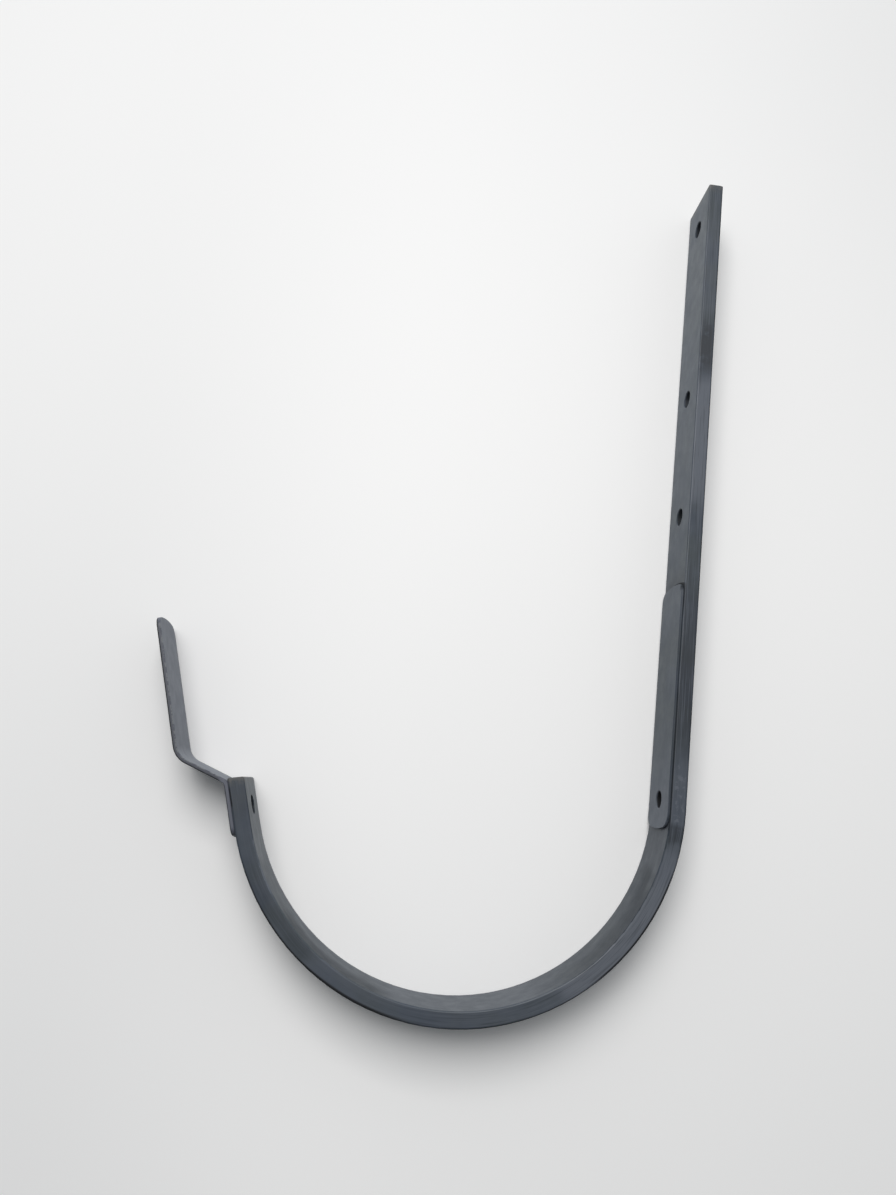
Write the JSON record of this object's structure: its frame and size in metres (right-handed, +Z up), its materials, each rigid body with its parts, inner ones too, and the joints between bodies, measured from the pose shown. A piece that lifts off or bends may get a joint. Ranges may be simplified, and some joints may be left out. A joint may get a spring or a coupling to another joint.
{
  "type": "gutter bracket",
  "caption": "Rafter bracket for a half-round gutter: flat-bar stem with screw holes bent into a J-shaped seat, with thin fold-over strips fixed at the front tip and inside the stem.",
  "frame": {"origin": "on the axis of the half-round gutter, which is the centre of the seat's curve, midway across the bar's width", "axes": "+X towards the wall or rafter, square to the stem's back face; +Y along the gutter; +Z up the stem"},
  "size_m": [0.2034, 0.025, 0.346],
  "materials": {
    "grey_paint": "satin anthracite grey paint, lightly scuffed"
  },
  "bodies": {
    "root": {"hook_bar": "grey_paint", "front_strip": "grey_paint", "rear_strip": "grey_paint"}
  },
  "joints": []
}
